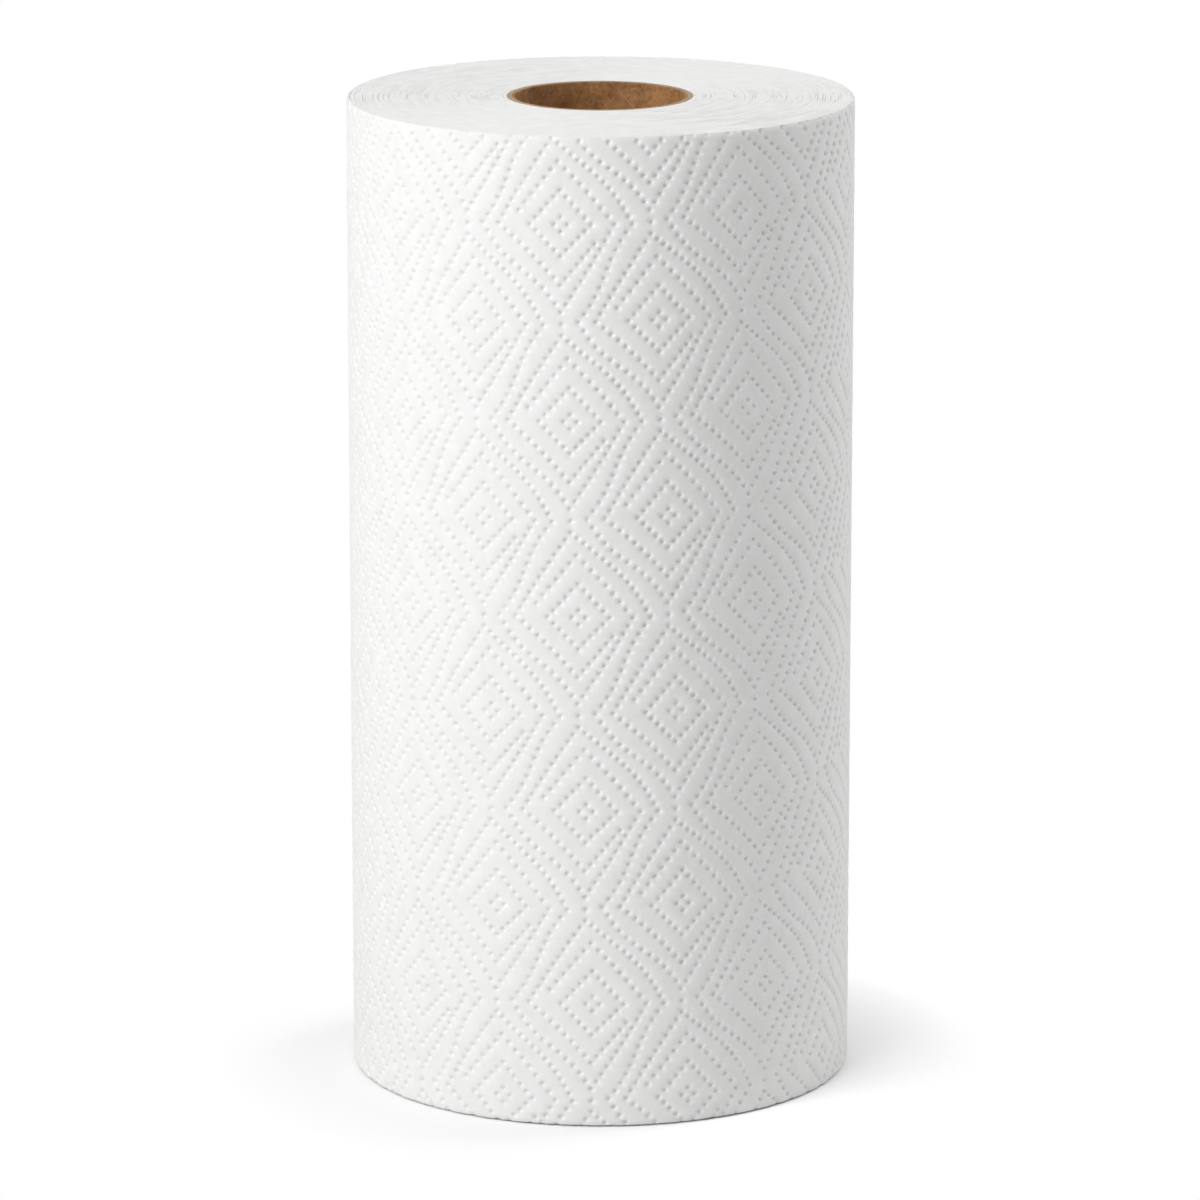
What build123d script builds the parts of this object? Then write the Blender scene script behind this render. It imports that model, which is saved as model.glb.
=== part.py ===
"""A paper towel roll: a long embossed sheet wound on a board tube, standing on its end.

The origin is on the axis at the bottom end. +Z runs up the axis and -Y is the front, away from the
sheet's loose end. All sizes are in millimetres and all angles in degrees.

The embossed sheet is laid out flat first, as triangles, then cut to one turn of the roll and wound.
A place on the flat sheet is (along, up, depth): along is 0 at the front and grows the way the sheet is
wound, up is the height above the bottom end, and depth is how far it is pressed in below the crests.
"""

import os
from math import ceil, cos, floor, pi, radians, sin

from build123d import *

# The roll and its tube
roll_height = 230.0
core_outer_diameter = 43.0
core_wall = 1.8
sheet_thickness = 0.6
turn_count = 62
tail_angle = 165.7

# The embossing: nested diamonds, in columns that stand half a figure higher or lower by turns
column_spacing = 21.42
row_spacing = 22.75
pattern_tilt = 1.6
first_figure_along = -8.8
first_figure_up = 211.8
diamonds_per_figure = 3
emboss_depth = 0.5

# The lines that part the turns on the roll's two ends, each for a good dozen turns
end_line_count = 4
end_line_width = 0.9
end_line_depth = 0.4

core_radius = core_outer_diameter / 2
roll_radius = core_radius + turn_count * sheet_thickness
turn_length = 2 * pi * roll_radius
tail_along = radians(tail_angle) * roll_radius
head_along = tail_along - turn_length

# Sides of diamonds up to this share of a figure are one straight piece, and larger ones bend once
straight_side_share = 0.5
# Points this near are one point
same_point = 1e-6


def wound(place):
    """The point in space where a place on the flat sheet comes to lie on the roll."""
    along, up, depth = place
    turns_from_tail = (tail_along - along) / turn_length
    radius = roll_radius - turns_from_tail * sheet_thickness - depth
    angle = along / roll_radius
    return Vector(radius * sin(angle), -radius * cos(angle), up)


def pattern_steps():
    """The steps on the flat sheet to the next column and up to the next row, square to each other."""
    tilt = radians(pattern_tilt)
    column_step = Vector(cos(tilt), sin(tilt)) * column_spacing
    row_step = Vector(-sin(tilt), cos(tilt)) * row_spacing
    return column_step, row_step


def figure_centres():
    """The middles of all figures that reach onto one turn of the sheet."""
    column_step, row_step = pattern_steps()
    first = Vector(first_figure_along, first_figure_up)
    corners = [Vector(along, up) - first for along in (head_along, tail_along) for up in (0, roll_height)]
    columns = [corner.dot(column_step) / column_spacing**2 for corner in corners]
    rows = [corner.dot(row_step) / row_spacing**2 for corner in corners]
    for column in range(floor(min(columns)) - 1, ceil(max(columns)) + 2):
        for row in range(floor(min(rows)) - 1, ceil(max(rows)) + 2):
            if (column + row) % 2 == 0:
                yield first + column_step * column + row_step * row


def diamond(centre, share, depth):
    """The places round one diamond of a figure, starting at its right-hand corner."""
    column_step, row_step = pattern_steps()
    corners = [column_step, row_step, -column_step, -row_step]
    pieces = 1 if share <= straight_side_share else 2
    places = []
    for corner, following in zip(corners, corners[1:] + corners[:1]):
        for piece in range(pieces):
            place = centre + (corner + (following - corner) * (piece / pieces)) * share
            places.append((place.X, place.Y, depth))
    return places


def band(inner, outer):
    """Triangles between two diamonds, the outer with as many places as the inner or twice as many."""
    triangles = []
    for index, near in enumerate(inner):
        next_near = inner[(index + 1) % len(inner)]
        if len(outer) == len(inner):
            far, next_far = outer[index], outer[(index + 1) % len(outer)]
            triangles += [(near, far, next_far), (near, next_far, next_near)]
        else:
            far, middle, next_far = (outer[(2 * index + step) % len(outer)] for step in range(3))
            triangles += [(near, far, middle), (near, middle, next_near), (next_near, middle, next_far)]
    return triangles


def figure(centre):
    """One figure laid flat: a dent in the middle, then crests and pressed diamonds by turns."""
    dent = (centre.X, centre.Y, emboss_depth)
    step_count = 2 * diamonds_per_figure
    rings = [
        diamond(centre, step / step_count, 0 if step % 2 else emboss_depth)
        for step in range(1, step_count + 1)
    ]
    triangles = [(dent, *side) for side in zip(rings[0], rings[0][1:] + rings[0][:1])]
    for inner, outer in zip(rings, rings[1:]):
        triangles += band(inner, outer)
    return triangles


def cut(places, axis, limit, side):
    """What is left of a flat polygon on one side of a straight cut: above the limit for 1, below for -1."""
    kept = []
    for place, following in zip(places, places[1:] + places[:1]):
        here = side * (place[axis] - limit)
        there = side * (following[axis] - limit)
        if here >= 0:
            kept.append(place)
        if here * there < 0:
            share = here / (here - there)
            crossing = [a + (b - a) * share for a, b in zip(place, following)]
            crossing[axis] = limit
            kept.append(tuple(crossing))
    return kept


def one_turn():
    """The last turn of the sheet laid flat, as polygons cut off at both ends and both edges."""
    cuts = ((0, head_along, 1), (0, tail_along, -1), (1, 0.0, 1), (1, roll_height, -1))
    polygons = []
    for centre in figure_centres():
        for places in figure(centre):
            polygon = list(places)
            for axis, limit, side in cuts:
                polygon = cut(polygon, axis, limit, side)
            if len(polygon) > 2:
                polygons.append(polygon)
    return polygons


def places_on(polygons, axis, limit):
    """All places on one edge of the flat sheet, in order along that edge."""
    on_edge = {
        tuple(round(value / same_point) for value in place): place
        for polygon in polygons
        for place in polygon
        if place[axis] == limit
    }
    return sorted(on_edge.values(), key=lambda place: place[1 - axis])


def flat_face(places):
    """A flat face with the wound places as its corners."""
    return Face(Wire.make_polygon([wound(place) for place in places]))


def wound_solid():
    """The winding without its hole: embossed outside, flat ends, and the sheet's cut edge as a step."""
    polygons = one_turn()
    faces = []
    for polygon in polygons:
        start = wound(polygon[0])
        for place, following in zip(polygon[1:], polygon[2:]):
            corners = [start, wound(place), wound(following)]
            if (corners[1] - start).cross(corners[2] - start).length > same_point:
                faces.append(Face(Wire.make_polygon(corners)))
    faces.append(flat_face(places_on(polygons, 1, 0.0)))
    faces.append(flat_face(places_on(polygons, 1, roll_height)))
    tail_edge = places_on(polygons, 0, tail_along)
    turn_below = places_on(polygons, 0, head_along)
    faces.append(flat_face(tail_edge + turn_below[::-1]))
    return Solid(Shell(faces))


def quarter_turns():
    """The four quarters of one turn of the sheet's spiral, as (centre, growth so far, starting angle).

    Each quarter is an arc about a corner of a small square, so that it runs on smoothly from the last
    and the whole turn gains one sheet thickness.
    """
    step = sheet_thickness / 4
    start = tail_angle - 90
    for quarter, (across, along) in enumerate(((-1, 1), (-1, -1), (1, -1), (1, 1))):
        corner = Vector(across, along) * (step / 2)
        yield corner.rotate(Axis.Z, start), (quarter + 0.5) * step, start + quarter * 90


def end_turns(level, inwards):
    """V grooves cut round one end on the sheet's spiral, so that its turns show."""
    pitch = (roll_radius - core_radius) / end_line_count
    outside = level - inwards * end_line_depth
    cutters = []
    for centre, growth, start in quarter_turns():
        for line in range(end_line_count):
            middle = core_radius + (line + 0.5) * pitch + growth
            profile = Polyline(
                (middle, level + inwards * end_line_depth),
                (middle + end_line_width, outside),
                (middle - end_line_width, outside),
                close=True,
            )
            groove = revolve(Plane.XZ * make_face(profile), Axis.Z, 90)
            cutters.append(Pos(*centre) * Rot(Z=start) * groove)
    return cutters


def wound_paper():
    """The sheet's turns on the tube, as one solid."""
    hole = Pos(Z=roll_height / 2) * Cylinder(core_radius, 2 * roll_height)
    return wound_solid() - hole - end_turns(roll_height, -1) - end_turns(0, 1)


def core_tube():
    """The board tube, cut off level with the sheet."""
    walls = Circle(core_radius) - Circle(core_radius - core_wall)
    return extrude(walls, roll_height)


def write_parts():
    """Writes each node to its own file."""
    os.makedirs("parts", exist_ok=True)
    export_step(wound_paper(), "parts/wound_paper.step")
    export_step(core_tube(), "parts/core_tube.step")


write_parts()
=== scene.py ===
from math import cos, pi, radians, sin

import bpy
import numpy as np
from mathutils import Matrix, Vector, noise
from mathutils.geometry import delaunay_2d_cdt


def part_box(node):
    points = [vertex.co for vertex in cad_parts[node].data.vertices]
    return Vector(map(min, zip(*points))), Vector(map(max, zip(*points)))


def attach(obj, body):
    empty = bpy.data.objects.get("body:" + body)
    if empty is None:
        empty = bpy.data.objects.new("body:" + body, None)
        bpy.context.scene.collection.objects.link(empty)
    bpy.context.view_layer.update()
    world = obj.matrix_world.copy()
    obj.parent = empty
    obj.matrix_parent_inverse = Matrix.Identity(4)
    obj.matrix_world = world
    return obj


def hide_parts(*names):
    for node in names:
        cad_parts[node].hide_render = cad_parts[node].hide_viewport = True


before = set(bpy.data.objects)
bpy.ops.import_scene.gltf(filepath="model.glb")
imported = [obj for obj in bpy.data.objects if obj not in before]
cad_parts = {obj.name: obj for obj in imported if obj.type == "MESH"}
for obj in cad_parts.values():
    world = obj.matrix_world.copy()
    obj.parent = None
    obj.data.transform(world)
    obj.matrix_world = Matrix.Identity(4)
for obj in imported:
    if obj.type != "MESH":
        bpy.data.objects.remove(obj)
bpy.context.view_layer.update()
bpy.ops.object.select_all(action="DESELECT")

# The paper of the roll. It is white two-ply tissue, soft and matt, with the fine cloudy grain that
# the fibres leave where the web is creped off its drying cylinder.
mm = 0.001


def tissue():
    """White tissue: cloudy whiteness, with creping and loose fibres in the bump."""
    material = bpy.data.materials.new("tissue")
    material.use_nodes = True
    nodes, links = material.node_tree.nodes, material.node_tree.links
    shader = nodes["Principled BSDF"]
    shader.inputs["Roughness"].default_value = 0.95
    shader.inputs["Specular IOR Level"].default_value = 0.15
    place = nodes.new("ShaderNodeTexCoord")
    clouds = nodes.new("ShaderNodeTexNoise")
    clouds.inputs["Scale"].default_value = 260
    clouds.inputs["Detail"].default_value = 5
    whiteness = nodes.new("ShaderNodeValToRGB")
    whiteness.color_ramp.elements[0].position = 0.3
    whiteness.color_ramp.elements[0].color = (0.80, 0.80, 0.79, 1)
    whiteness.color_ramp.elements[1].position = 0.7
    whiteness.color_ramp.elements[1].color = (0.84, 0.84, 0.835, 1)
    fibres = nodes.new("ShaderNodeTexNoise")
    fibres.inputs["Scale"].default_value = 2600
    fibres.inputs["Detail"].default_value = 3
    grain = nodes.new("ShaderNodeBump")
    grain.inputs["Strength"].default_value = 0.25
    grain.inputs["Distance"].default_value = 0.05 * mm
    links.new(place.outputs["Object"], clouds.inputs["Vector"])
    links.new(place.outputs["Object"], fibres.inputs["Vector"])
    links.new(clouds.outputs["Fac"], whiteness.inputs["Fac"])
    links.new(whiteness.outputs["Color"], shader.inputs["Base Color"])
    links.new(fibres.outputs["Fac"], grain.inputs["Height"])
    links.new(grain.outputs["Normal"], shader.inputs["Normal"])
    return material


tissue_material = tissue()

# The embossing of the sheet. Steel rolls press rows of small round dents into it, in nested diamonds
# with a wave between their columns, and the paper between the rows swells into soft ridges.
# One figure is laid out flat, with its middle at 0, and repeated over the sheet.
step_across = Vector((21.54, 0.58)) * mm
step_down = Vector((0.9, -22.62)) * mm
to_lower_right = step_across + step_down
to_upper_right = step_across - step_down

eye_half_width = 1.55
eye_half_height = 1.65
first_top, first_right, first_bottom, first_left = (-0.1, 7.8), (7.0, 0.0), (-0.1, -7.3), (-7.2, -0.1)
second_top, second_right, second_bottom, second_left = (-0.5, 14.4), (12.3, 0.0), (-0.2, -13.9), (-14.6, -0.2)
third_top, third_right, third_bottom, third_left = (-1.8, 19.7), (16.4, 0.0), (-0.2, -20.1), (-18.6, -0.3)
short_row_upper_end, short_row_lower_end = (-9.7, 3.0), (7.7, -4.4)
lone_dent = (0.0, -22.9)
next_third_left = (third_left[0] + to_lower_right.x / mm, third_left[1] + to_lower_right.y / mm)

# Two places nearer than this are the same dent, where rows meet
same_dent = 0.5 * mm
# Each row of dents: from, to, number of gaps, how far it bows out, and how far it swings to and fro
dent_rows = (
    (first_top, first_right, 5, 0, 0),
    (first_right, first_bottom, 5, 0, 0),
    (first_bottom, first_left, 5, 0, 0),
    (first_left, first_top, 5, 0, 0),
    (second_top, second_right, 8, 0.4, 0),
    (second_bottom, second_left, 9, -0.5, 0),
    (third_top, third_right, 14, 1.7, -0.3),
    (third_bottom, third_left, 12, 0.2, -0.8),
    (short_row_upper_end, second_top, 6, 0, 0),
    (short_row_lower_end, second_bottom, 6, 0, 0),
    (second_left, third_top, 11, 0.3, 0),
    (second_right, third_bottom, 11, 0.3, 0),
    (next_third_left, third_right, 11, 0, 0.55),
)


def row_of_dents(start, end, gaps, bow, swing):
    """The places of one row's dents, its two ends among them."""
    start, end = Vector(start) * mm, Vector(end) * mm
    way = end - start
    outwards = Vector((-way.y, way.x)).normalized() * mm
    if outwards.dot(start + end) < 0:
        outwards.negate()
    shares = [gap / gaps for gap in range(gaps + 1)]
    return [start + way * t + outwards * (bow * sin(pi * t) + swing * sin(2 * pi * t)) for t in shares]


def dents_of_one_figure():
    """The places of all dents of one figure, each once."""
    eye = [(0, eye_half_height), (0, -eye_half_height), (eye_half_width, 0), (-eye_half_width, 0)]
    places = [Vector(place) * mm for place in eye + [lone_dent]]
    for row in dent_rows:
        for dent in row_of_dents(*row):
            if all((dent - place).length > same_dent for place in places):
                places.append(dent)
    return np.array(places)


swell = 0.15 * mm
dent_depth = 0.5 * mm
dent_floor_radius = 0.12 * mm
dent_rim_radius = 0.86 * mm
trough_depth = 0.11 * mm
trough_spread = 0.75 * mm
# Where rows run close together, their troughs add up to this many times one trough at most
most_troughs = 1.2
# Rings of points round the middle of each dent: radius and number
dent_rings = ((0, 1), (0.28 * mm, 6), (0.56 * mm, 8), (0.82 * mm, 9))
# The net between the dents: points along each side of a figure's cell, and how far each strays, as a
# share of the net's step. It keeps this far from the middles of the dents.
points_per_step = 38
net_stray = 0.12
free_of_dents = 1.02 * mm

rng = np.random.default_rng(7)
cell = np.array((to_lower_right, to_upper_right)).T
cell_inverse = np.linalg.inv(cell)
dents = dents_of_one_figure()
neighbour_steps = np.array([(i, j) for i in range(-2, 3) for j in range(-2, 3)]) @ cell.T
dents_around = (neighbour_steps[:, None] + dents[None]).reshape(-1, 2)


def distances_to_dents(points):
    return np.linalg.norm(points[:, None] - dents_around[None], axis=2)


def relief(points):
    """The height of the sheet at each point: swollen, with the dents in soft troughs along their rows."""
    distance = distances_to_dents(points)
    trough = np.exp(-0.5 * (distance / trough_spread) ** 2).sum(axis=1)
    nearest = distance.min(axis=1)
    share = np.clip((nearest - dent_floor_radius) / (dent_rim_radius - dent_floor_radius), 0, 1)
    dent = 1 - share * share * (3 - 2 * share)
    return swell - trough_depth * np.minimum(trough, most_troughs) - dent_depth * dent


def points_of_one_figure():
    """The points that one figure's surface is built on: rings round each dent, and an even net between."""
    points = []
    for dent in dents:
        turn = rng.uniform(0, 2 * pi)
        for radius, count in dent_rings:
            angles = turn + np.arange(count) * 2 * pi / count
            points.append(dent + radius * np.column_stack((np.cos(angles), np.sin(angles))))
            turn += pi / count
    places = (np.arange(points_per_step) + 0.5) / points_per_step - 0.5
    net = np.array([(s, t) for s in places for t in places])
    net = (net + rng.uniform(-net_stray, net_stray, net.shape) / points_per_step) @ cell.T
    points.append(net[distances_to_dents(net).min(axis=1) > free_of_dents])
    return np.concatenate(points)


def figure_mesh():
    """One figure's share of the sheet, as triangles that fit on to those of its neighbours."""
    points = points_of_one_figure()
    points = (neighbour_steps[:, None] + points[None]).reshape(-1, 2)
    margin = 0.1
    in_cell = points @ cell_inverse.T
    points = points[(np.abs(in_cell) < 0.5 + margin).all(axis=1)]
    found = delaunay_2d_cdt([Vector(point / mm) for point in points], [], [], 0, 1e-6)
    points = np.array(found[0]) * mm
    triangles = np.array(found[2])
    middles = points[triangles].mean(axis=1) @ cell_inverse.T
    triangles = triangles[((middles >= -0.5) & (middles < 0.5)).all(axis=1)]
    used, triangles = np.unique(triangles, return_inverse=True)
    points = points[used]
    mesh = bpy.data.meshes.new("figure")
    mesh.from_pydata(np.column_stack((points, relief(points))), [], triangles.reshape(-1, 3).tolist())
    return mesh


# The sheet's last turn, one embossed web. It is laid out flat, x along it and y up the roll, and cut to
# the roll's length, at its loose end, and where the turn began. Its two sawn edges are soft: they lean
# in a little, and the lower one stands just clear of the floor.
paper_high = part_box("wound_paper")[1]
roll_height = paper_high.z
turn_thickness = 0.6 * mm
least_thickness = 0.1 * mm
same_place = 0.01 * mm
tail_angle = radians(165.7)
roll_radius = paper_high.x + turn_thickness * (tail_angle - pi / 2) / (2 * pi)
tail_along = tail_angle * roll_radius
head_along = tail_along - 2 * pi * roll_radius
first_figure = Vector((-8.26, 210.68)) * mm
lower_edge = 0.4 * mm
edge_lean = 0.3 * mm
edge_lean_width = 1.2 * mm
columns_before_first = 10
columns = 22
rows_above_first = 2
rows = 14
drift_round = np.array((-1.36, 1.05, 0)) * mm
drift_skew = np.array((-1.03, 0.85, 0)) * mm
drift_ends = np.array((-0.8, -0.61, 0)) * mm


def repeat(piece, count, step):
    """Copies of a piece in a line, joined to it."""
    array = piece.modifiers.new("array", "ARRAY")
    array.count = count
    array.use_relative_offset = False
    array.use_constant_offset = True
    array.constant_offset_displace = step.to_3d()
    bpy.context.view_layer.objects.active = piece
    bpy.ops.object.modifier_apply(modifier=array.name)


def read_vectors(items, name):
    """One vector of each vertex, face or corner, as rows of an array."""
    values = np.empty(len(items) * 3, np.float32)
    items.foreach_get(name, values)
    return values.reshape(-1, 3).astype(float)


def with_drift(places):
    """The flat places as the pattern really runs: the web wanders a little while it is wound."""
    angles = places[:, :1] / roll_radius
    from_middle = 2 * places[:, 1:2] / roll_height - 1
    return (places + (1 - np.cos(angles)) * drift_round + np.sin(angles) * from_middle * drift_skew
            + from_middle**2 * drift_ends)


def cut_flat(point, normal, keep_beyond=False):
    """A straight cut through the whole piece in edit mode. What lies beyond it goes, unless it is kept."""
    bpy.ops.mesh.select_all(action="SELECT")
    bpy.ops.mesh.bisect(plane_co=point, plane_no=normal, clear_outer=not keep_beyond)


sheet = bpy.data.objects.new("sheet", figure_mesh())
bpy.context.collection.objects.link(sheet)
sheet.select_set(True)
start = first_figure - columns_before_first * step_across - rows_above_first * step_down
repeat(sheet, 2, to_lower_right)
repeat(sheet, columns // 2, 2 * step_across)
repeat(sheet, rows // 2, 2 * step_down)
places = with_drift(read_vectors(sheet.data.vertices, "co") + start.to_3d())
sheet.data.vertices.foreach_set("co", places.ravel())
bpy.ops.object.mode_set(mode="EDIT")
bpy.ops.mesh.select_all(action="SELECT")
bpy.ops.mesh.remove_doubles(threshold=same_place)
cut_flat((0, lower_edge, 0), (0, -1, 0))
cut_flat((0, roll_height, 0), (0, 1, 0))
cut_flat((head_along, 0, 0), (-1, 0, 0))
cut_flat((tail_along, 0, 0), (1, 0, 0))
for share in (1 / 3, 2 / 3, 1):
    for level in (lower_edge + share * edge_lean_width, roll_height - share * edge_lean_width):
        cut_flat((0, level, 0), (0, 1, 0), keep_beyond=True)

# The sheet is perforated across every 260 mm, so that one towel tears off the next. The slits stop
# short of each other at small ties, and the torn ties stand out a little along the loose end.
press_unevenness = 0.22
press_drift_size = 7 * mm
# In 99 places of 100 the noise stays within 0.64 either way, and so within about 1 once it is times this
noise_reach = 1.6
crepe_depth = 0.02 * mm
crepe_size = 1.1 * mm
towel_length = 260 * mm
perforation_along = tail_along - towel_length
slit_half_width = 0.14 * mm
slit_depth = 0.3 * mm
tie_spacing = 6.2 * mm
tie_width = 1.1 * mm
torn_tie_length = 0.35 * mm
panel_count = 4
panel_length = (tail_along - head_along) / panel_count

for offset in (-slit_half_width, 0, slit_half_width):
    cut_flat((perforation_along + offset, 0, 0), (1, 0, 0), keep_beyond=True)
for number in range(1, panel_count):
    cut_flat((head_along + number * panel_length, 0, 0), (1, 0, 0), keep_beyond=True)
bpy.ops.object.mode_set(mode="OBJECT")


def on_a_tie(up):
    """True where the perforation is not cut."""
    return (up + tie_width) % tie_spacing < tie_width


def drift(places, size):
    """A soft random value at each place, mostly between -1 and 1, which changes over this distance."""
    return np.array([noise.noise(place) for place in (places * (1, 1, 0) / size).tolist()]) * noise_reach


places = read_vectors(sheet.data.vertices, "co")
places[:, 2] = swell + (places[:, 2] - swell) * (1 + press_unevenness * drift(places, press_drift_size))
places[:, 2] += crepe_depth * drift(places, crepe_size)
places[:, 1] = np.clip(places[:, 1], lower_edge, roll_height)
from_edge = np.minimum(places[:, 1] - lower_edge, roll_height - places[:, 1])
places[:, 2] -= edge_lean * np.clip(1 - from_edge / edge_lean_width, 0, 1) ** 2
places[:, 2] = np.maximum(places[:, 2], least_thickness - turn_thickness)
on_line = np.abs(places[:, 0] - perforation_along) < same_place
places[on_line & ~on_a_tie(places[:, 1]), 2] -= slit_depth / 2
at_tail = np.abs(places[:, 0] - tail_along) < same_place
places[at_tail & on_a_tie(places[:, 1]), 0] += torn_tie_length
sheet.data.vertices.foreach_set("co", places.ravel())
sheet.data.update()

# The cuts would show as creases where the parts of the turn meet, so the whole sheet's smooth
# surface directions are kept with its points.
skin = sheet.data.attributes.new("skin_direction", "FLOAT_VECTOR", "POINT")
skin.data.foreach_set("vector", read_vectors(sheet.data.vertex_normals, "vector").ravel())

# The outer turn on the roll. The flat sheet is parted in four so that each piece stays light, given the
# thickness of its two plies, and wound round the turns beneath, on the spiral that they make.
strips_per_panel = 12
# A face of the flat panel that points up by more than this is on its embossed side
facing_out = 0.3


def select_only(piece):
    bpy.ops.object.select_all(action="DESELECT")
    piece.select_set(True)
    bpy.context.view_layer.objects.active = piece


def part_off(piece, limit):
    """Splits off what lies before a place along the flat sheet, as a piece of its own."""
    middles = read_vectors(piece.data.polygons, "center")
    piece.data.polygons.foreach_set("select", middles[:, 0] < limit)
    select_only(piece)
    bpy.ops.object.mode_set(mode="EDIT")
    bpy.ops.mesh.separate(type="SELECTED")
    bpy.ops.object.mode_set(mode="OBJECT")
    return next(other for other in bpy.context.selected_objects if other is not piece)


def give_thickness(piece, start):
    """Turns the edges of a flat panel down and closes its back, in strips that can bend round the roll."""
    select_only(piece)
    bpy.ops.object.mode_set(mode="EDIT")
    bpy.ops.mesh.select_mode(type="EDGE")
    bpy.ops.mesh.select_all(action="DESELECT")
    bpy.ops.mesh.select_non_manifold()
    bpy.ops.mesh.extrude_edges_move()
    bpy.ops.transform.resize(value=(1, 1, 0), center_override=(0, 0, -turn_thickness))
    bpy.ops.mesh.edge_face_add()
    bpy.ops.mesh.select_mode(type="FACE")
    for strip in range(1, strips_per_panel):
        along = start + panel_length * strip / strips_per_panel
        bpy.ops.mesh.select_all(action="DESELECT")
        bpy.ops.mesh.select_face_by_sides(number=8, type="GREATER")
        bpy.ops.mesh.bisect(plane_co=(along, 0, 0), plane_no=(1, 0, 0))
    bpy.ops.object.mode_set(mode="OBJECT")


def turned(vectors, angles):
    """Flat directions (along, up, out) as they point once the sheet is wound up to these angles."""
    along, up, out = vectors.T
    return np.column_stack((
        out * np.sin(angles) + along * np.cos(angles),
        along * np.sin(angles) - out * np.cos(angles),
        up,
    ))


def wind_up(piece):
    """Bends a flat piece round the roll, on the spiral of its turns."""
    mesh = piece.data
    corner_counts = [face.loop_total for face in mesh.polygons]
    pressed = np.repeat(read_vectors(mesh.polygons, "normal")[:, 2] > facing_out, corner_counts)
    places = read_vectors(mesh.vertices, "co")
    angles = places[:, 0] / roll_radius
    turns_from_tail = (tail_along - places[:, 0]) / (tail_along - head_along)
    radii = roll_radius - turns_from_tail * turn_thickness + places[:, 2]
    wound = np.column_stack((radii * np.sin(angles), -radii * np.cos(angles), places[:, 1]))
    mesh.vertices.foreach_set("co", wound.ravel())
    mesh.update()
    skin = turned(read_vectors(mesh.attributes["skin_direction"].data, "vector"), angles)
    corners = np.empty(len(mesh.loops), int)
    mesh.loops.foreach_get("vertex_index", corners)
    flat = np.repeat(read_vectors(mesh.polygons, "normal"), corner_counts, axis=0)
    mesh.normals_split_custom_set(np.where(pressed[:, None], skin[corners], flat))
    mesh.attributes.remove(mesh.attributes["skin_direction"])


rest = sheet
for number in range(panel_count):
    end = head_along + (number + 1) * panel_length
    panel = part_off(rest, end) if number < panel_count - 1 else rest
    give_thickness(panel, end - panel_length)
    wind_up(panel)
    panel.name = panel.data.name = f"outer_turn_{number + 1}"
    panel.data.materials.append(tissue_material)
    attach(panel, "root")
    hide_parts("wound_paper")

# The turns under the outer one. Their cut edges make the roll's flat ends: the saw goes through the
# whole log at once, and leaves fine rings, one for each turn, with the soft layers a little uneven.
core_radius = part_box("core_tube")[1].x
turns_beneath = round((roll_radius - 2 * turn_thickness - core_radius) / turn_thickness)
ring_steps = 240
gap_depth = 0.36 * mm
land_width = 0.36 * mm
# How fast the gaps change round the roll and from turn to turn, and their share of the full depth: the
# usual one, how much of the noise is added to it, and the least
change_round = 5.5
change_per_turn = 2.3
usual_share, changing_share, least_share = 0.3, 1.5, 0.15
unevenness = 0.06 * mm
waviness = 0.1 * mm
wave_size = 6 * mm
# The waves die down over this distance towards the bore and towards the outer turn. Over the same distance
# in from the outer turn, the lower end comes down from that turn's clear edge to the floor.
still_margin = 2 * mm


def end_profile(level, inwards):
    """Radius and height of the points across the turns' edges on one end, from the core outwards."""
    points = [(core_radius, level)]
    for turn in range(turns_beneath):
        gap = core_radius + turn * turn_thickness
        middle = gap + turn_thickness / 2
        points.append((gap, level + inwards * gap_depth))
        points.append((middle - land_width / 2, level))
        points.append((middle + land_width / 2, level))
    points.append((core_radius + turns_beneath * turn_thickness, level + inwards * gap_depth))
    return points


def on_the_spiral(places):
    """Where the points of plain spun rings lie once each ring runs on into the next, a little unevenly."""
    steps_round, points = np.divmod(np.arange(len(places)), len(profile))
    share = steps_round / ring_steps
    radii, levels = np.array(profile)[points].T
    on_bore = (points == 0) | (points == len(profile) - 1)
    radii = np.where(on_bore, radii, radii + turn_thickness * share)
    angles = tail_angle + 2 * pi * share
    sines, cosines = np.sin(angles), np.cos(angles)
    layers = (radii - core_radius) / turn_thickness
    spots = np.column_stack((change_round * sines, change_round * cosines, change_per_turn * layers))
    lift = np.array([noise.noise(spot) for spot in spots.tolist()])
    sway = [noise.noise((r * s / wave_size, r * c / wave_size, 0)) for r, s, c in zip(radii, sines, cosines)]
    outer_radius = core_radius + turns_beneath * turn_thickness
    at_bottom = levels < roll_height / 2
    end, inwards = np.where(at_bottom, 0, roll_height), np.where(at_bottom, 1, -1)
    depths = np.abs(levels - end) * np.clip(usual_share + changing_share * lift, least_share, 1)
    depths += unevenness * (0.5 + 0.5 * lift)
    depths += at_bottom * lower_edge * np.clip(1 - (outer_radius - radii) / still_margin, 0, 1)
    levels = end + inwards * depths
    from_walls = np.minimum(radii - core_radius, outer_radius - radii)
    radii = radii + waviness * np.array(sway) * np.clip(from_walls / still_margin, 0, 1)
    return np.column_stack((radii * sines, -radii * cosines, levels))


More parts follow.
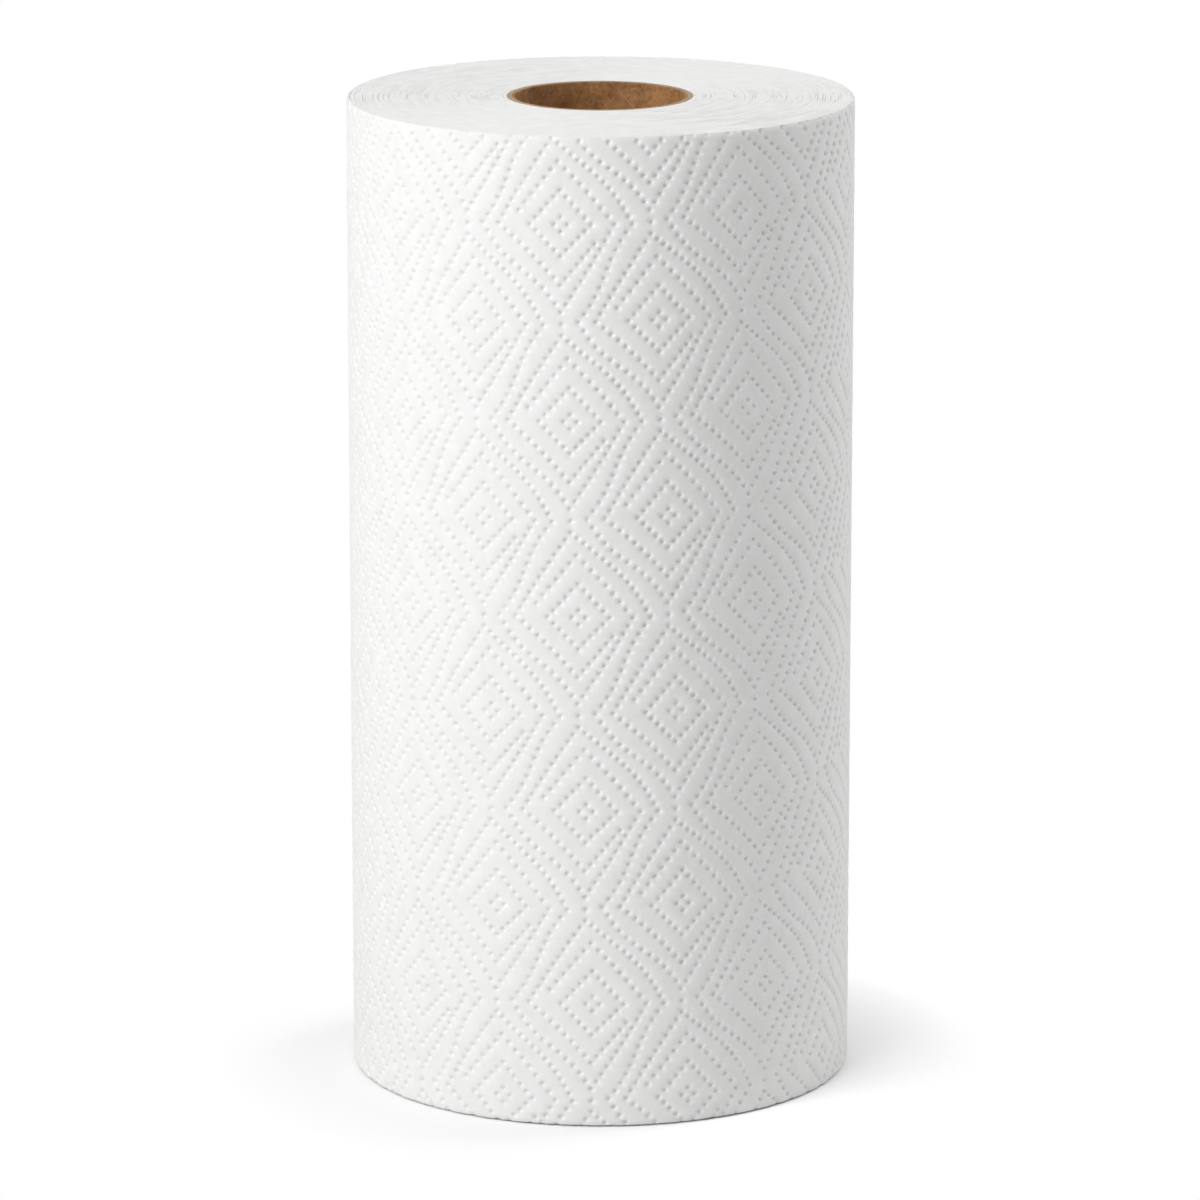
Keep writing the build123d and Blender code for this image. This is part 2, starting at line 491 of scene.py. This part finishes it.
profile = end_profile(roll_height, -1) + end_profile(0, 1)[::-1]
mesh = bpy.data.meshes.new("inner_turns")
corners = [(radius, 0, level) for radius, level in profile]
mesh.from_pydata(corners, [(i, (i + 1) % len(corners)) for i in range(len(corners))], [])
inner_turns = bpy.data.objects.new("inner_turns", mesh)
bpy.context.collection.objects.link(inner_turns)
select_only(inner_turns)
spin = inner_turns.modifiers.new("spin", "SCREW")
spin.steps = spin.render_steps = ring_steps
spin.angle = radians(359.9)
bpy.ops.object.modifier_apply(modifier=spin.name)
mesh = inner_turns.data
mesh.vertices.foreach_set("co", on_the_spiral(mesh.vertices).ravel())
mesh.update()
bpy.ops.object.mode_set(mode="EDIT")
bpy.ops.mesh.select_all(action="SELECT")
bpy.ops.mesh.remove_doubles(threshold=0.005 * mm)
bpy.ops.mesh.fill_holes(sides=0)
bpy.ops.mesh.select_all(action="SELECT")
bpy.ops.mesh.normals_make_consistent(inside=False)
bpy.ops.object.mode_set(mode="OBJECT")
bpy.ops.object.shade_smooth_by_angle(angle=radians(30))
mesh.materials.append(tissue_material)
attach(inner_turns, "root")
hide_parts("wound_paper")

# The board tube that the sheet is wound on. It is three plies of brown recycled board, each a strip
# wound on the slant and glued over the joint of the one beneath, then sawn to the roll's length.
core_bore_radius = 19.7 * mm
ply_count = 3
ply_pitch = (core_radius - core_bore_radius) / ply_count
ply_thickness = 0.57 * mm
strip_rise = 129.8 * mm
joint_width = 0.14 * mm
edge_lift = 0.09 * mm
lifted_width = 0.5 * mm
first_joint_level = 200.09 * mm
strip_steps = 96
strip_turns = 4
# A Mix node has several sockets of one name, so those for colours go by their numbers
first_colour, second_colour, mixed_colour = 6, 7, 2


def board(name, shade, light, joint_level):
    """Recycled board between two shades: clouded, scuffed, and paler along the strip's frayed edges."""
    material = bpy.data.materials.new(name)
    material.use_nodes = True
    nodes, links = material.node_tree.nodes, material.node_tree.links

    def worked_out(operation, first, second):
        node = nodes.new("ShaderNodeMath")
        node.operation = operation
        for socket, value in zip(node.inputs, (first, second)):
            if isinstance(value, bpy.types.NodeSocket):
                links.new(value, socket)
            else:
                socket.default_value = value
        return node.outputs["Value"]

    def noise_of(scale, detail, roughness):
        node = nodes.new("ShaderNodeTexNoise")
        node.inputs["Scale"].default_value = scale
        node.inputs["Detail"].default_value = detail
        node.inputs["Roughness"].default_value = roughness
        links.new(place.outputs["Object"], node.inputs["Vector"])
        return node.outputs["Fac"]

    shader = nodes["Principled BSDF"]
    shader.inputs["Roughness"].default_value = 0.75
    shader.inputs["Specular IOR Level"].default_value = 0.3
    place = nodes.new("ShaderNodeTexCoord")
    clouds = noise_of(170, 3, 0.5)
    scuffs = noise_of(900, 5, 0.75)
    mottle = worked_out("ADD", worked_out("MULTIPLY", clouds, 0.45), worked_out("MULTIPLY", scuffs, 0.55))
    colour = nodes.new("ShaderNodeValToRGB")
    colour.color_ramp.elements[0].position = 0.36
    colour.color_ramp.elements[0].color = (*shade, 1)
    colour.color_ramp.elements[1].position = 0.64
    colour.color_ramp.elements[1].color = (*light, 1)
    links.new(mottle, colour.inputs["Fac"])
    axes = nodes.new("ShaderNodeSeparateXYZ")
    links.new(place.outputs["Object"], axes.inputs["Vector"])
    around = worked_out("ARCTAN2", axes.outputs["Y"], axes.outputs["X"])
    climb = worked_out("MULTIPLY", around, strip_rise / (2 * pi))
    above_joint = worked_out("SUBTRACT", axes.outputs["Z"], climb)
    from_joint = worked_out("PINGPONG", worked_out("SUBTRACT", above_joint, joint_level), strip_rise / 2)
    frayed = nodes.new("ShaderNodeMapRange")
    frayed.inputs["From Max"].default_value = 0.4 * mm
    frayed.inputs["To Min"].default_value = 1.1
    frayed.inputs["To Max"].default_value = 0
    links.new(from_joint, frayed.inputs["Value"])
    torn = worked_out("MULTIPLY", frayed.outputs["Result"], clouds)
    edged = nodes.new("ShaderNodeMix")
    edged.data_type = "RGBA"
    edged.inputs[second_colour].default_value = (*(1.5 * part for part in light), 1)
    links.new(torn, edged.inputs["Factor"])
    under = colour.outputs["Color"]
    specks = noise_of(1300, 1, 0.5)
    dark_fleck = [0.4 * part for part in shade]
    pale_fleck = [1.4 * part for part in light]
    for low, high, fleck in ((0.62, 0.72, dark_fleck), (0.36, 0.28, pale_fleck)):
        flecks = nodes.new("ShaderNodeMapRange")
        flecks.inputs["From Min"].default_value = low
        flecks.inputs["From Max"].default_value = high
        flecks.inputs["To Max"].default_value = 0.45
        links.new(specks, flecks.inputs["Value"])
        flecked = nodes.new("ShaderNodeMix")
        flecked.data_type = "RGBA"
        flecked.inputs[second_colour].default_value = (*fleck, 1)
        links.new(flecks.outputs["Result"], flecked.inputs["Factor"])
        links.new(under, flecked.inputs[first_colour])
        under = flecked.outputs[mixed_colour]
    links.new(under, edged.inputs[first_colour])
    links.new(edged.outputs[mixed_colour], shader.inputs["Base Color"])
    grain = nodes.new("ShaderNodeBump")
    grain.inputs["Strength"].default_value = 0.5
    grain.inputs["Distance"].default_value = 0.06 * mm
    links.new(scuffs, grain.inputs["Height"])
    links.new(grain.outputs["Normal"], shader.inputs["Normal"])
    return material


def core_ply(name, radius, joint_level, top, material):
    """One wound strip of the tube, its inner face at this radius, sawn off at both ends."""
    mesh = bpy.data.meshes.new(name)
    start = joint_level - (strip_turns - 1) * strip_rise
    end = start + strip_rise - joint_width
    across = [(start, edge_lift), (start + lifted_width, 0), (end - lifted_width, 0), (end, edge_lift)]
    edge = [(radius - lift, 0, level) for level, lift in across]
    mesh.from_pydata(edge, [(0, 1), (1, 2), (2, 3)], [])
    ply = bpy.data.objects.new(name, mesh)
    bpy.context.collection.objects.link(ply)
    select_only(ply)
    screw = ply.modifiers.new("screw", "SCREW")
    screw.steps = screw.render_steps = strip_steps
    screw.iterations = strip_turns
    screw.screw_offset = strip_rise
    bpy.ops.object.modifier_apply(modifier=screw.name)
    bpy.ops.object.mode_set(mode="EDIT")
    bpy.ops.mesh.select_all(action="SELECT")
    bpy.ops.mesh.normals_make_consistent(inside=False)
    cut_flat((0, 0, 0), (0, 0, -1))
    cut_flat((0, 0, top), (0, 0, 1))
    bpy.ops.object.mode_set(mode="OBJECT")
    wall = ply.modifiers.new("wall", "SOLIDIFY")
    wall.thickness = ply_thickness
    wall.offset = 1
    bpy.ops.object.modifier_apply(modifier=wall.name)
    mesh = ply.data
    places = read_vectors(mesh.vertices, "co")
    places[:, 2] = np.clip(places[:, 2], 0, top)
    mesh.vertices.foreach_set("co", places.ravel())
    mesh.update()
    bpy.ops.object.shade_smooth_by_angle(angle=radians(30))
    mesh.materials.append(material)
    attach(ply, "root")
    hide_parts("core_tube")


# Each ply: name, how many thirds of a rise its joint is above the inner ply's, how far it is cut short,
# and its two shades
plies = (
    ("core_inner_ply", 0, 0.1 * mm, (0.22, 0.1, 0.033), (0.50, 0.265, 0.11)),
    ("core_middle_ply", -1, 0, (0.36, 0.27, 0.18), (0.47, 0.37, 0.26)),
    ("core_outer_ply", 1, 0.05 * mm, (0.33, 0.26, 0.18), (0.44, 0.36, 0.27)),
)
for number, (name, steps_up, short, shade, light) in enumerate(plies):
    joint_level = first_joint_level + steps_up * strip_rise / ply_count
    material = board(name.replace("core", "board"), shade, light, joint_level)
    core_ply(name, core_bore_radius + number * ply_pitch, joint_level, roll_height - short, material)

# The studio: a white sweep under and behind the roll, lit softly from the upper left. The sweep shows
# as pure white but for the shade close round the roll.
lamps_point_at = Vector((0, 0, 0.1))
shade_reach = 32 * mm
bpy.ops.mesh.primitive_plane_add(size=12)
floor_plane = bpy.context.object
floor_plane.name = "studio_floor"
white = bpy.data.materials.new("studio_white")
white.use_nodes = True
nodes, links = white.node_tree.nodes, white.node_tree.links
matt = nodes["Principled BSDF"]
matt.inputs["Roughness"].default_value = 1
matt.inputs["Specular IOR Level"].default_value = 0
path = nodes.new("ShaderNodeLightPath")
paper_white = nodes.new("ShaderNodeMapRange")
paper_white.inputs["To Min"].default_value = 0.9
paper_white.inputs["To Max"].default_value = 1
place = nodes.new("ShaderNodeTexCoord")
from_axis = nodes.new("ShaderNodeVectorMath")
from_axis.operation = "LENGTH"
clear_of_roll = nodes.new("ShaderNodeMapRange")
clear_of_roll.inputs["From Min"].default_value = roll_radius
clear_of_roll.inputs["From Max"].default_value = roll_radius + shade_reach
seen_clear = nodes.new("ShaderNodeMath")
seen_clear.operation = "MULTIPLY"
glow = nodes.new("ShaderNodeEmission")
seen_white = nodes.new("ShaderNodeMixShader")
links.new(path.outputs["Is Camera Ray"], paper_white.inputs["Value"])
links.new(paper_white.outputs["Result"], matt.inputs["Base Color"])
links.new(place.outputs["Object"], from_axis.inputs[0])
links.new(from_axis.outputs["Value"], clear_of_roll.inputs["Value"])
links.new(clear_of_roll.outputs["Result"], seen_clear.inputs[0])
links.new(path.outputs["Is Camera Ray"], seen_clear.inputs[1])
links.new(seen_clear.outputs["Value"], seen_white.inputs["Fac"])
links.new(matt.outputs["BSDF"], seen_white.inputs[1])
links.new(glow.outputs["Emission"], seen_white.inputs[2])
links.new(seen_white.outputs["Shader"], nodes["Material Output"].inputs["Surface"])
floor_plane.data.materials.append(white)

world = bpy.data.worlds.new("studio")
bpy.context.scene.world = world
world.use_nodes = True
nodes, links = world.node_tree.nodes, world.node_tree.links
sky = nodes["Background"]
sky.inputs["Color"].default_value = (1, 1, 1, 1)
path = nodes.new("ShaderNodeLightPath")
seen = nodes.new("ShaderNodeMapRange")
seen.inputs["To Min"].default_value = 0.33
seen.inputs["To Max"].default_value = 1
links.new(path.outputs["Is Camera Ray"], seen.inputs["Value"])
links.new(seen.outputs["Result"], sky.inputs["Strength"])

# Each lamp: name, degrees to the right of the front, degrees up, distance, size and power
softboxes = (
    ("key_light", -58, 18, 1.6, 0.6, 8.6),
    ("top_light", -40, 55, 1.6, 0.7, 10.2),
    ("rim_light", 120, 40, 1.6, 0.8, 11),
)
for name, around, up, distance, size, power in softboxes:
    lamp = bpy.data.lights.new(name, "AREA")
    lamp.shape = "SQUARE"
    lamp.size = size
    lamp.energy = power
    softbox = bpy.data.objects.new(name, lamp)
    bpy.context.collection.objects.link(softbox)
    around, up = radians(around), radians(up)
    way = Vector((cos(up) * sin(around), -cos(up) * cos(around), sin(up)))
    softbox.location = lamps_point_at + way * distance
    softbox.rotation_euler = (-way).to_track_quat("-Z", "Y").to_euler()

camera_data = bpy.data.cameras.new("camera")
camera_data.sensor_width = 36
camera_data.lens = 210.66
camera = bpy.data.objects.new("camera", camera_data)
bpy.context.collection.objects.link(camera)
camera.location = (0, -1.6, 0.4882)
camera.rotation_euler = (radians(76.722), 0, 0)
bpy.context.scene.camera = camera
bpy.context.scene.view_settings.view_transform = "Standard"
